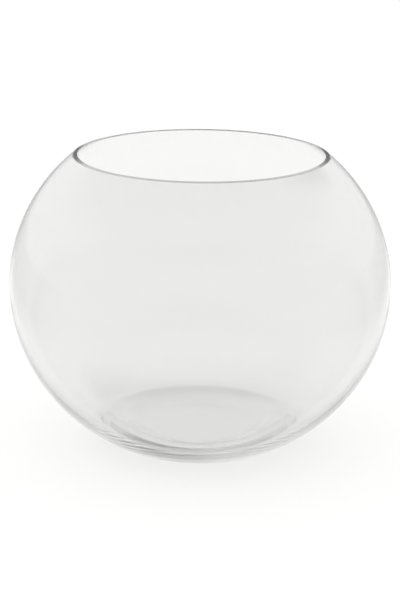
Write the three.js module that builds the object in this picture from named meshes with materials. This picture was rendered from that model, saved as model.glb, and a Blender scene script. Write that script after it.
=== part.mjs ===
// Bubble bowl vase: one blown piece of clear glass, cut open at the top and flattened at the bottom.
// Millimetres, +Z up, origin in the middle of the base plane on which the bowl stands.
import * as THREE from "three";

// Outside of the bubble
const bodyDiameter = 250; // at the belly, the widest point
const bodyHeight = 194.8; // base plane to rim
const bellyHeight = 108.5; // base plane to the widest point
const mouthDiameter = 165.4; // outside of the cut mouth, before its edges are polished
const footDiameter = 100; // where the outside meets the base plane, before that edge is rounded

// Glass thickness
const bellyWall = 2.2; // at the widest point
const rimLand = 2.9; // level width of the cut mouth, before its edges are polished
const floorThickness = 13; // base plane to the edge of the inside floor
const heelWall = 6.5; // level thickness of the wall at the height of the floor

// Roundings and hollows
const rimOuterShare = 0.65; // share of the cut mouth that the rounding of its outer edge takes
const rimInnerShare = 0.25; // the same for its inner edge
const heelRound = 6; // how far the rounding reaches from the inside corner between floor and wall
const footRound = 4; // the same for the outside corner between wall and base
const bearingWidth = 4; // flat ring on which the bowl stands
const puntRise = 0.6; // height of the hollow under the base at its centre
const floorCrown = 0.3; // rise of the inside floor towards its centre

// Facets
const turnSteps = 72; // round the bowl
const wallSteps = 9; // on each half of a wall
const cornerSteps = 4; // on each rounded corner
const discSteps = 5; // from the centre to the edge of the floor and of the underside

const point = (radius, height) => new THREE.Vector2(radius, height);
const line = (from, to) => new THREE.LineCurve(from, to);
const bend = (from, sharp, to) => new THREE.QuadraticBezierCurve(from, sharp, to);

// A wall is two quarter ellipses that meet at the belly, where both run straight up.
// It goes through the belly and through one point above it and one below it.
function wallThrough(belly, above, below) {
  const semiHeight = (end) =>
    Math.abs(end.y - bellyHeight) / Math.sqrt(1 - (end.x / belly) ** 2);
  const upper = semiHeight(above);
  const lower = semiHeight(below);
  const semiAt = (height) => (height > bellyHeight ? upper : lower);
  const angleAt = (height) => Math.asin((height - bellyHeight) / semiAt(height));

  return {
    radiusAt: (height) => belly * Math.cos(angleAt(height)),
    // The point a short way along the wall from the given height, measured on the tangent there.
    along(height, length) {
      const angle = angleAt(height);
      const tangent = point(-belly * Math.sin(angle), semiAt(height) * Math.cos(angle)).normalize();
      const reached = height + length * tangent.y;
      return point(belly * Math.cos(angleAt(reached)), reached);
    },
    // The stretch of wall between the belly and the given height.
    stretch(height, towardsBelly) {
      const angle = angleAt(height);
      const [start, end] = towardsBelly ? [angle, 0] : [0, angle];
      const clockwise = end < start;
      return new THREE.EllipseCurve(0, bellyHeight, belly, semiAt(height), start, end, clockwise);
    },
  };
}

// Outside wall, from the edge of the base to the outer edge of the mouth
const mouthOuter = point(mouthDiameter / 2, bodyHeight);
const footOuter = point(footDiameter / 2, 0);
const outside = wallThrough(bodyDiameter / 2, mouthOuter, footOuter);

// Inside wall, from the edge of the floor to the inner edge of the mouth
const mouthInner = point(mouthOuter.x - rimLand, bodyHeight);
const floorCorner = point(outside.radiusAt(floorThickness) - heelWall, floorThickness);
const inside = wallThrough(bodyDiameter / 2 - bellyWall, mouthInner, floorCorner);

// Where the roundings begin and end
const bearingOuter = point(footOuter.x - footRound, 0);
const bearingInner = point(bearingOuter.x - bearingWidth, 0);
const footTop = outside.along(0, footRound);
const rimOuterRound = rimLand * rimOuterShare;
const rimInnerRound = rimLand * rimInnerShare;
const rimOuterLow = outside.along(bodyHeight, -rimOuterRound);
const rimOuterTop = point(mouthOuter.x - rimOuterRound, bodyHeight);
const rimInnerTop = point(mouthInner.x + rimInnerRound, bodyHeight);
const rimInnerLow = inside.along(bodyHeight, -rimInnerRound);
const heelTop = inside.along(floorThickness, heelRound);
const floorEdge = point(floorCorner.x - heelRound, floorThickness);
const floorCentre = point(0, floorThickness + floorCrown);
const puntCentre = point(0, puntRise);

// The section of the glass, from the axis under the base, round the rim and back to the axis on the floor
const section = [
  [bend(puntCentre, point(bearingInner.x / 2, puntCentre.y), bearingInner), discSteps],
  [line(bearingInner, bearingOuter), 1],
  [bend(bearingOuter, footOuter, footTop), cornerSteps],
  [outside.stretch(footTop.y, true), wallSteps],
  [outside.stretch(rimOuterLow.y, false), wallSteps],
  [bend(rimOuterLow, mouthOuter, rimOuterTop), cornerSteps],
  [line(rimOuterTop, rimInnerTop), 1],
  [bend(rimInnerTop, mouthInner, rimInnerLow), cornerSteps],
  [inside.stretch(rimInnerLow.y, true), wallSteps],
  [inside.stretch(heelTop.y, false), wallSteps],
  [bend(heelTop, floorCorner, floorEdge), cornerSteps],
  [bend(floorEdge, point(floorEdge.x / 2, floorCentre.y), floorCentre), discSteps],
];
const outline = section.flatMap(([curve, steps], i) => curve.getPoints(steps).slice(i ? 1 : 0));

const clearGlass = new THREE.MeshStandardMaterial({
  color: 0xf4f6f6,
  roughness: 0.02,
  metalness: 0,
  transparent: true,
  opacity: 0.3,
});

const glassBowl = new THREE.Mesh(new THREE.LatheGeometry(outline, turnSteps), clearGlass);
glassBowl.name = "glass_bowl";
glassBowl.rotation.x = Math.PI / 2; // the lathe turns about Y, and the bowl stands along Z

const vase = new THREE.Group();
vase.add(glassBowl);

export default vase;
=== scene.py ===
import math

import bpy
from mathutils import Matrix, Vector


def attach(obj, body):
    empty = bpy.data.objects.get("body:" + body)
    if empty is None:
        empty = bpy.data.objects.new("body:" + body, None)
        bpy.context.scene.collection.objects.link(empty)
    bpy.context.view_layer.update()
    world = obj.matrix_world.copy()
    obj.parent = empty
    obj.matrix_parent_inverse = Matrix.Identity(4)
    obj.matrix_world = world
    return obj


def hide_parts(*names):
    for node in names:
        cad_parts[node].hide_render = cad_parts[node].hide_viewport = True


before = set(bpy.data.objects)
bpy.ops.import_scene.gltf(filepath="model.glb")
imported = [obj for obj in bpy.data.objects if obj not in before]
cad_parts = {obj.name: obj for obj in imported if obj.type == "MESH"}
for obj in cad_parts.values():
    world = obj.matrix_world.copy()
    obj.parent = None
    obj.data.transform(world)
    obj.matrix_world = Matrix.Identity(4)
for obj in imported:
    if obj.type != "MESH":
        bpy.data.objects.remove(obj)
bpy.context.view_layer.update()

mm = 0.001  # sizes below are in millimetres, the scene is in metres

bpy.ops.object.select_all(action="DESELECT")


def linearColour(hexCode):  # "#rrggbb" in sRGB to linear red, green, blue and alpha
    shares = [int(hexCode[i:i + 2], 16) / 255 for i in (1, 3, 5)]
    return [c / 12.92 if c <= 0.04045 else ((c + 0.055) / 1.055) ** 2.4 for c in shares] + [1.0]


def emptyTree(owner):  # the nodes of a material or of the world, cleared
    owner.use_nodes = True
    owner.node_tree.nodes.clear()
    return owner.node_tree


def addNode(tree, kind, inputs=None, **settings):  # an input is a value, a socket or a node
    node = tree.nodes.new(kind)
    for name, value in settings.items():
        setattr(node, name, value)
    for name, value in (inputs or {}).items():
        if isinstance(value, bpy.types.Node):
            value = value.outputs[0]  # a node stands for its first output
        if isinstance(value, bpy.types.NodeSocket):
            tree.links.new(value, node.inputs[name])
        else:
            node.inputs[name].default_value = value
    return node


# Bowl: one gather of clear glass, blown thin at the belly and left heavy at the base
bowl = {
    "bellyRadius": 125.0,    # outside, at the widest point
    "bellyHeight": 108.5,    # base plane to the widest point
    "bodyHeight": 194.8,     # base plane to the rim
    "mouthRadius": 82.9,     # outside of the cut mouth
    "footRadius": 50.0,      # where the outside meets the base plane, before that edge is rounded
    "bellyWall": 2.2,        # glass at the widest point
    "rimLand": 2.9,          # level width of the cut mouth
    "floorThickness": 13.0,  # base plane to the edge of the inside floor
    "heelWall": 7.5,         # level thickness of the wall at the height of the floor
    "rimDrop": 0.4,          # how much lower the cut's outer edge lies than its inner one
    "rimOuterRound": 0.6,    # reach of the polished rounding of the mouth's outer edge
    "rimInnerRound": 0.12,   # the same for its inner edge
    "heelRound": 6.0,        # the same for the corner between floor and wall
    "footRound": 13.0,       # the same for the corner between wall and base
    "bearingWidth": 4.0,     # flat ring on which the bowl stands
    "puntRise": 0.15,        # hollow under the base
    "floorCrown": 0.3,       # rise of the inside floor at its centre
    "turnSteps": 256,        # round the bowl
    "wallSteps": 44,         # on each quarter of a wall
    "cornerSteps": 12,       # on each rounded corner
    "discSteps": 14,         # from the centre to the edge of the floor and of the underside
    "mergeWithin": 0.001,    # closes the seam and the poles of the spin
}


def at(radius, height):  # a point of the section
    return Vector((radius, 0, height))


def bend(start, corner, end, steps):  # rounded corner, without its first point
    shares = [i / steps for i in range(1, steps + 1)]
    return [start * (1 - t) ** 2 + corner * 2 * t * (1 - t) + end * t ** 2 for t in shares]


def quarterWall(belly, end):  # quarter ellipse that leaves the belly straight and goes through the end
    rise = end.z - bowl["bellyHeight"]
    return belly, rise / math.sqrt(1 - (end.x / belly) ** 2)


def onWall(wall, height):  # the point of a wall at a height
    belly, semi = wall
    return at(belly * math.sqrt(1 - ((height - bowl["bellyHeight"]) / semi) ** 2), height)


def alongWall(wall, height, length):  # the point a short way up the wall, measured on its tangent
    nudge = 0.01
    tangent = (onWall(wall, height) - onWall(wall, height - nudge)).normalized()
    return onWall(wall, height + length * tangent.z)


def stretch(wall, fromHeight, toHeight, steps):  # points along a wall, without its first
    belly, semi = wall
    start, end = [math.asin((h - bowl["bellyHeight"]) / semi) for h in (fromHeight, toHeight)]
    angles = [start + (end - start) * i / steps for i in range(1, steps + 1)]
    return [at(belly * math.cos(a), bowl["bellyHeight"] + semi * math.sin(a)) for a in angles]


def bowlSection():  # from the axis under the base, out, up, over the rim and back to the axis on the floor
    top, floor, belly = bowl["bodyHeight"], bowl["floorThickness"], bowl["bellyHeight"]

    # Walls, outside and inside, each in two quarters
    mouthOuter = at(bowl["mouthRadius"], top - bowl["rimDrop"])
    mouthInner = at(bowl["mouthRadius"] - bowl["rimLand"], top)
    foot = at(bowl["footRadius"], 0)
    outsideUpper = quarterWall(bowl["bellyRadius"], mouthOuter)
    outsideLower = quarterWall(bowl["bellyRadius"], foot)
    heel = at(onWall(outsideLower, floor).x - bowl["heelWall"], floor)
    insideUpper = quarterWall(bowl["bellyRadius"] - bowl["bellyWall"], mouthInner)
    insideLower = quarterWall(bowl["bellyRadius"] - bowl["bellyWall"], heel)

    # Where the roundings begin and end
    puntCentre = at(0, bowl["puntRise"])
    bearingOuter = at(foot.x - bowl["footRound"], 0)
    bearingInner = at(bearingOuter.x - bowl["bearingWidth"], 0)
    footTop = alongWall(outsideLower, 0, bowl["footRound"])
    cut = (mouthInner - mouthOuter).normalized()
    rimOuterLow = alongWall(outsideUpper, mouthOuter.z, -bowl["rimOuterRound"])
    rimOuterTop = mouthOuter + cut * bowl["rimOuterRound"]
    rimInnerTop = mouthInner - cut * bowl["rimInnerRound"]
    rimInnerLow = alongWall(insideUpper, top, -bowl["rimInnerRound"])
    heelTop = alongWall(insideLower, floor, bowl["heelRound"])
    floorEdge = at(heel.x - bowl["heelRound"], floor)
    floorCentre = at(0, floor + bowl["floorCrown"])

    corner, side, disc = bowl["cornerSteps"], bowl["wallSteps"], bowl["discSteps"]
    points = [puntCentre]
    points += bend(puntCentre, at(bearingInner.x / 2, puntCentre.z), bearingInner, disc)
    points += [bearingOuter]
    points += bend(bearingOuter, foot, footTop, corner)
    points += stretch(outsideLower, footTop.z, belly, side)
    points += stretch(outsideUpper, belly, rimOuterLow.z, side)
    points += bend(rimOuterLow, mouthOuter, rimOuterTop, corner)
    points += [rimInnerTop]
    points += bend(rimInnerTop, mouthInner, rimInnerLow, corner)
    points += stretch(insideUpper, rimInnerLow.z, belly, side)
    points += stretch(insideLower, belly, heelTop.z, side)
    points += bend(heelTop, heel, floorEdge, corner)
    points += bend(floorEdge, at(floorEdge.x / 2, floorCentre.z), floorCentre, disc)
    return [p * mm for p in points]


def makeBowl():
    points = bowlSection()
    bpy.ops.mesh.primitive_plane_add(size=mm)
    piece = bpy.context.active_object
    piece.name = piece.data.name = "glassBowl"
    bpy.ops.object.mode_set(mode="EDIT")
    bpy.ops.mesh.select_all(action="SELECT")
    bpy.ops.mesh.merge(type="CENTER")  # one vertex, to draw the section with
    bpy.ops.transform.translate(value=points[0])
    for here, there in zip(points, points[1:]):
        bpy.ops.mesh.extrude_region_move(TRANSFORM_OT_translate={"value": there - here})
    bpy.ops.mesh.select_all(action="SELECT")
    bpy.ops.mesh.spin(steps=bowl["turnSteps"], angle=math.tau, center=(0, 0, 0), axis=(0, 0, 1))
    bpy.ops.mesh.select_all(action="SELECT")
    bpy.ops.mesh.remove_doubles(threshold=bowl["mergeWithin"] * mm)
    bpy.ops.mesh.normals_make_consistent(inside=False)
    bpy.ops.object.mode_set(mode="OBJECT")
    bpy.ops.object.shade_smooth()
    return piece


# Soda-lime glass, blown and fire-polished: clear and neutral, with a mirror-smooth skin that
# waves a little, faint drawn lines, and enough depth in the base to look greyer than the wall.
# The cut edge of the mouth is greyed by painted shade.
glass = {
    "ior": 1.52,
    "roughness": (0.0, 0.012),   # clean skin, and where fingers have dulled it
    "smudgeSize": 38.0,
    "smudgeEdge": (0.45, 0.75),  # levels of the noise between which a smudge comes in
    "smudgeDetail": 5.0,         # how many finer layers the noise has, here and below
    "waveSize": 46.0,            # width of the slow swells left by blowing
    "waveDetail": 1.0,
    "waveHeight": 0.02,
    "lineSpacing": 7.0,          # drawn lines
    "lineStretch": 0.15,         # the less, the longer they run up the wall
    "lineDetail": 2.0,
    "lineHeight": 0.002,
    "skin": "#f5f5f5",           # what each wall lets through, beside what it mirrors
    "cut": "#a0a3a2",            # the same for the cut edge of the mouth, greyed by painted shade
    "cutLevel": 0.9,             # faces this level and above the belly are the cut edge
    "tint": "#bcbebd",           # what is left of white light as the glass takes it up
    "density": 1.5,              # per metre
}


def sodaLimeGlass():
    material = bpy.data.materials.new("sodaLimeGlass")
    tree = emptyTree(material)
    place = addNode(tree, "ShaderNodeTexCoord").outputs["Object"]

    # Smudges dull the skin
    smudge = addNode(tree, "ShaderNodeTexNoise",
                     {"Vector": place, "Scale": 1 / (glass["smudgeSize"] * mm),
                      "Detail": glass["smudgeDetail"]})
    dull = addNode(tree, "ShaderNodeMapRange",
                   {"Value": smudge, "From Min": glass["smudgeEdge"][0], "From Max": glass["smudgeEdge"][1],
                    "To Min": glass["roughness"][0], "To Max": glass["roughness"][1]})

    # Swells and drawn lines bend it
    wave = addNode(tree, "ShaderNodeTexNoise",
                   {"Vector": place, "Scale": 1 / (glass["waveSize"] * mm), "Detail": glass["waveDetail"]})
    drawn = addNode(tree, "ShaderNodeMapping", {"Vector": place, "Scale": (1, 1, glass["lineStretch"])})
    lines = addNode(tree, "ShaderNodeTexNoise",
                    {"Vector": drawn, "Scale": 1 / (glass["lineSpacing"] * mm),
                     "Detail": glass["lineDetail"]})
    swell = addNode(tree, "ShaderNodeBump",
                    {"Height": wave, "Distance": glass["waveHeight"] * mm, "Strength": 1.0})
    skin = addNode(tree, "ShaderNodeBump",
                   {"Height": lines, "Distance": glass["lineHeight"] * mm, "Strength": 1.0, "Normal": swell})

    # The cut edge of the mouth lies level, above the belly, and is greyed there by painted shade
    normal = addNode(tree, "ShaderNodeNewGeometry").outputs["True Normal"]
    upward = addNode(tree, "ShaderNodeSeparateXYZ", {"Vector": normal}).outputs["Z"]
    height = addNode(tree, "ShaderNodeSeparateXYZ", {"Vector": place}).outputs["Z"]
    level = addNode(tree, "ShaderNodeMath", {0: upward, 1: glass["cutLevel"]}, operation="GREATER_THAN")
    above = addNode(tree, "ShaderNodeMath", {0: height, 1: bowl["bellyHeight"] * mm},
                    operation="GREATER_THAN")
    rimShadeMask = addNode(tree, "ShaderNodeMath", {0: level, 1: above}, operation="MULTIPLY")
    clear = addNode(tree, "ShaderNodeMix",
                    {0: rimShadeMask, 6: linearColour(glass["skin"]), 7: linearColour(glass["cut"])},
                    data_type="RGBA").outputs[2]

    surface = addNode(tree, "ShaderNodeBsdfPrincipled",
                      {"Base Color": clear, "Transmission Weight": 1.0, "IOR": glass["ior"],
                       "Roughness": dull, "Normal": skin})
    depth = addNode(tree, "ShaderNodeVolumeAbsorption",
                    {"Color": linearColour(glass["tint"]), "Density": glass["density"]})
    addNode(tree, "ShaderNodeOutputMaterial", {"Surface": surface, "Volume": depth})
    return material


glassBowl = makeBowl()
glassBowl.data.materials.append(sodaLimeGlass())
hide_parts("glass_bowl")
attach(glassBowl, "root")
print("bowl:", len(glassBowl.data.polygons), "faces")


# Stage: a wide table, white round the bowl and behind it, and greyer in front and at the sides:
# a painted pool of light, whose grey stands in for light falling off
stage = {
    "size": 9000.0,
    "thickness": 40.0,
    "clearance": 0.25,    # under the base, so that no two faces coincide
    "edgeRound": 3.0,
    "edgeSteps": 4,
    "smoothAngle": 30.0,  # degrees
    "white": "#f1f1f0",
    "grey": "#d0d0cf",
    "whiteTo": 145.0,     # from the middle, where the paint begins to turn grey
    "greyFrom": 420.0,
    "spread": 0.15,       # how the white widens towards the back
    "frontShare": 0.45,   # how much the way towards the front counts
    "grain": 0.6,         # width of the paint's tooth, and its height
    "tooth": 0.01,
}


def paintedLightPoolBoard():  # matt paint with a fine tooth, graduated from white to grey as a painted pool of light
    material = bpy.data.materials.new("paintedLightPoolBoard")
    tree = emptyTree(material)
    place = addNode(tree, "ShaderNodeTexCoord").outputs["Object"]
    grain = addNode(tree, "ShaderNodeTexNoise", {"Vector": place, "Scale": 1 / (stage["grain"] * mm)})
    tooth = addNode(tree, "ShaderNodeBump", {"Height": grain, "Distance": stage["tooth"] * mm})

    # How far a point lies from the white strip that runs back from the bowl
    along = addNode(tree, "ShaderNodeSeparateXYZ", {"Vector": place}).outputs
    aside = addNode(tree, "ShaderNodeMath", {0: along["X"]}, operation="ABSOLUTE")
    behind = addNode(tree, "ShaderNodeMath", {0: along["Y"], 1: 0.0}, operation="MAXIMUM")
    before = addNode(tree, "ShaderNodeMath", {0: along["Y"], 1: 0.0}, operation="MINIMUM")
    outside = addNode(tree, "ShaderNodeMath", {0: behind, 1: -stage["spread"], 2: aside},
                      operation="MULTIPLY_ADD", use_clamp=True)
    ahead = addNode(tree, "ShaderNodeMath", {0: before, 1: stage["frontShare"]}, operation="MULTIPLY")
    offset = addNode(tree, "ShaderNodeCombineXYZ", {"X": outside, "Y": ahead})
    away = addNode(tree, "ShaderNodeVectorMath", {0: offset}, operation="LENGTH").outputs["Value"]

    # Painted light: white in a pool round the bowl and behind it, turning grey farther away
    fade = addNode(tree, "ShaderNodeMapRange",
                   {"Value": away, "From Min": stage["whiteTo"] * mm, "From Max": stage["greyFrom"] * mm},
                   interpolation_type="SMOOTHSTEP")
    paint = addNode(tree, "ShaderNodeMix",
                    {0: fade, 6: linearColour(stage["white"]), 7: linearColour(stage["grey"])},
                    data_type="RGBA").outputs[2]
    surface = addNode(tree, "ShaderNodeBsdfDiffuse", {"Color": paint, "Normal": tooth})
    addNode(tree, "ShaderNodeOutputMaterial", {"Surface": surface})
    return material


def makeTable():
    bpy.ops.object.select_all(action="DESELECT")
    bpy.ops.mesh.primitive_cube_add(size=1.0)
    table = bpy.context.active_object
    table.name = table.data.name = "table"
    size = Vector((stage["size"], stage["size"], stage["thickness"])) * mm
    bpy.ops.transform.resize(value=size)
    bpy.ops.transform.translate(value=(0, 0, -size.z / 2 - stage["clearance"] * mm))
    bpy.ops.object.transform_apply()
    edge = table.modifiers.new("edgeRound", "BEVEL")
    edge.width, edge.segments = stage["edgeRound"] * mm, stage["edgeSteps"]
    bpy.ops.object.modifier_apply(modifier=edge.name)
    bpy.ops.object.shade_smooth_by_angle(angle=math.radians(stage["smoothAngle"]))
    table.data.materials.append(paintedLightPoolBoard())


makeTable()
print("stage: table")


# Light: a wide soft lamp from the left and behind on all that is matt, and a pale room in the glass
light = {
    "colour": "#ffffff",
    "lamp": (-60, 60),              # degrees from behind towards the right, and up
    "lampLevels": (0.98, 1.26),     # away from it and straight at it
    "lampEdge": (-0.5, 1.0),        # cosines of the angle to it between which they change
    "back": 0.92,                   # what the glass meets straight behind it
    "front": 0.65,
    "turnOver": (-0.7, 0.8),        # shares of the way back between which the one becomes the other
    "top": 0.6,                     # share of that left overhead
    "topFrom": (20, 50),            # heights in degrees
    "sides": (1.03, 1.0),           # share at the left and at the right
    "slot": 0.85,                   # share taken away in a dim opening straight behind, low over the table
    "slotSides": (0.10, 0.17),      # shares of the way aside between which it ends
    "slotBack": (-0.5, 0.5),        # shares of the way back between which it begins
    "slotHeights": (5, 8, 14, 17),  # degrees where it begins, is full, fades and ends
    "screen": (27, 47),             # a dark screen behind on the right, placed like the lamp
    "screenEdge": (30, 11),         # degrees from its middle, where it begins and where it is full
    "screenDim": 1.0,               # share taken away there
    "bounces": 128,                 # light runs far inside the wall before it leaves
}


def heights(*angles):  # degrees up to shares of the way up
    return [math.sin(math.radians(angle)) for angle in angles]


def multiplyRamps(tree, ramps):  # a ramp is a value, the ends it runs between and its levels there
    product = 1.0
    for value, ends, levels in ramps:
        ramp = addNode(tree, "ShaderNodeMapRange",
                       {"Value": value, "From Min": ends[0], "From Max": ends[1],
                        "To Min": levels[0], "To Max": levels[1]}, interpolation_type="SMOOTHSTEP")
        product = addNode(tree, "ShaderNodeMath", {0: product, 1: ramp}, operation="MULTIPLY")
    return product


def lightStudio():
    world = bpy.data.worlds.new("studio")
    bpy.context.scene.world = world
    world.cycles.sampling_method = "NONE"
    tree = emptyTree(world)
    towards = addNode(tree, "ShaderNodeTexCoord").outputs["Generated"]
    way = addNode(tree, "ShaderNodeSeparateXYZ", {"Vector": towards}).outputs
    aside = addNode(tree, "ShaderNodeMath", {0: way["X"]}, operation="ABSOLUTE")

    facing = {}  # 1 straight at the lamp or the screen, and less away from it
    for name in ("lamp", "screen"):
        turn, height = [math.radians(angle) for angle in light[name]]
        middle = Vector((math.sin(turn), math.cos(turn), math.tan(height))).normalized()
        facing[name] = addNode(tree, "ShaderNodeVectorMath", {0: towards, 1: middle},
                               operation="DOT_PRODUCT").outputs["Value"]

    begin, full, fade, end = heights(*light["slotHeights"])
    slot = multiplyRamps(tree, [
        (aside, light["slotSides"], (light["slot"], 0.0)),
        (way["Y"], light["slotBack"], (0.0, 1.0)),
        (way["Z"], (begin, full), (0.0, 1.0)),
        (way["Z"], (fade, end), (1.0, 0.0)),
    ])
    outsideSlot = addNode(tree, "ShaderNodeMath", {0: 1.0, 1: slot}, operation="SUBTRACT")
    screenEdge = [math.cos(math.radians(angle)) for angle in light["screenEdge"]]
    walls = multiplyRamps(tree, [
        (way["Y"], light["turnOver"], (light["front"], light["back"])),
        (way["Z"], heights(*light["topFrom"]), (1.0, light["top"])),
        (way["X"], (-1.0, 1.0), light["sides"]),  # all the way from left to right
        (facing["screen"], screenEdge, (1.0, 1.0 - light["screenDim"])),
    ])
    room = addNode(tree, "ShaderNodeMath", {0: walls, 1: outsideSlot}, operation="MULTIPLY")
    lamp = multiplyRamps(tree, [(facing["lamp"], light["lampEdge"], light["lampLevels"])])

    # Rays that have met a matt surface once or more see the lamp, and all others see the room
    met = addNode(tree, "ShaderNodeLightPath").outputs["Diffuse Depth"]
    matt = addNode(tree, "ShaderNodeMath", {0: met, 1: 0.5}, operation="GREATER_THAN")
    level = addNode(tree, "ShaderNodeMix", {0: matt, 2: room, 3: lamp})
    sky = addNode(tree, "ShaderNodeBackground", {"Color": linearColour(light["colour"]), "Strength": level})
    addNode(tree, "ShaderNodeOutputWorld", {"Surface": sky})


lightStudio()
cycles = bpy.context.scene.cycles
cycles.max_bounces = cycles.transmission_bounces = cycles.glossy_bounces = light["bounces"]
cycles.blur_glossy = 0  # light that goes through glass to the table stays clear
bpy.context.scene.view_settings.view_transform = "Standard"
print("light: soft lamp, pale room")


# Camera: slightly above the rim, far enough to flatten the bowl
view = {
    "distance": 1250.0,       # from the middle of the belly
    "elevation": 16.01,       # degrees
    "roll": 0.6,              # degrees
    "sensorWidth": 36.0,
    "focalLength": 114.0,
    "aim": (0.0, 0.0, 96.3),  # the point in the middle of the picture
}


def placeCamera():
    elevation = math.radians(view["elevation"])
    back = Vector((0, -math.cos(elevation), math.sin(elevation)))
    location = (at(0, bowl["bellyHeight"]) + back * view["distance"]) * mm
    bpy.ops.object.camera_add(location=location)
    camera = bpy.context.active_object
    camera.name = "camera"
    turn = (Vector(view["aim"]) * mm - location).to_track_quat("-Z", "Y")
    roll = Matrix.Rotation(math.radians(view["roll"]), 3, "Z")
    camera.rotation_euler = (turn.to_matrix() @ roll).to_euler()
    camera.data.sensor_width = view["sensorWidth"]
    camera.data.lens = view["focalLength"]
    bpy.context.scene.camera = camera


placeCamera()
print("camera placed")
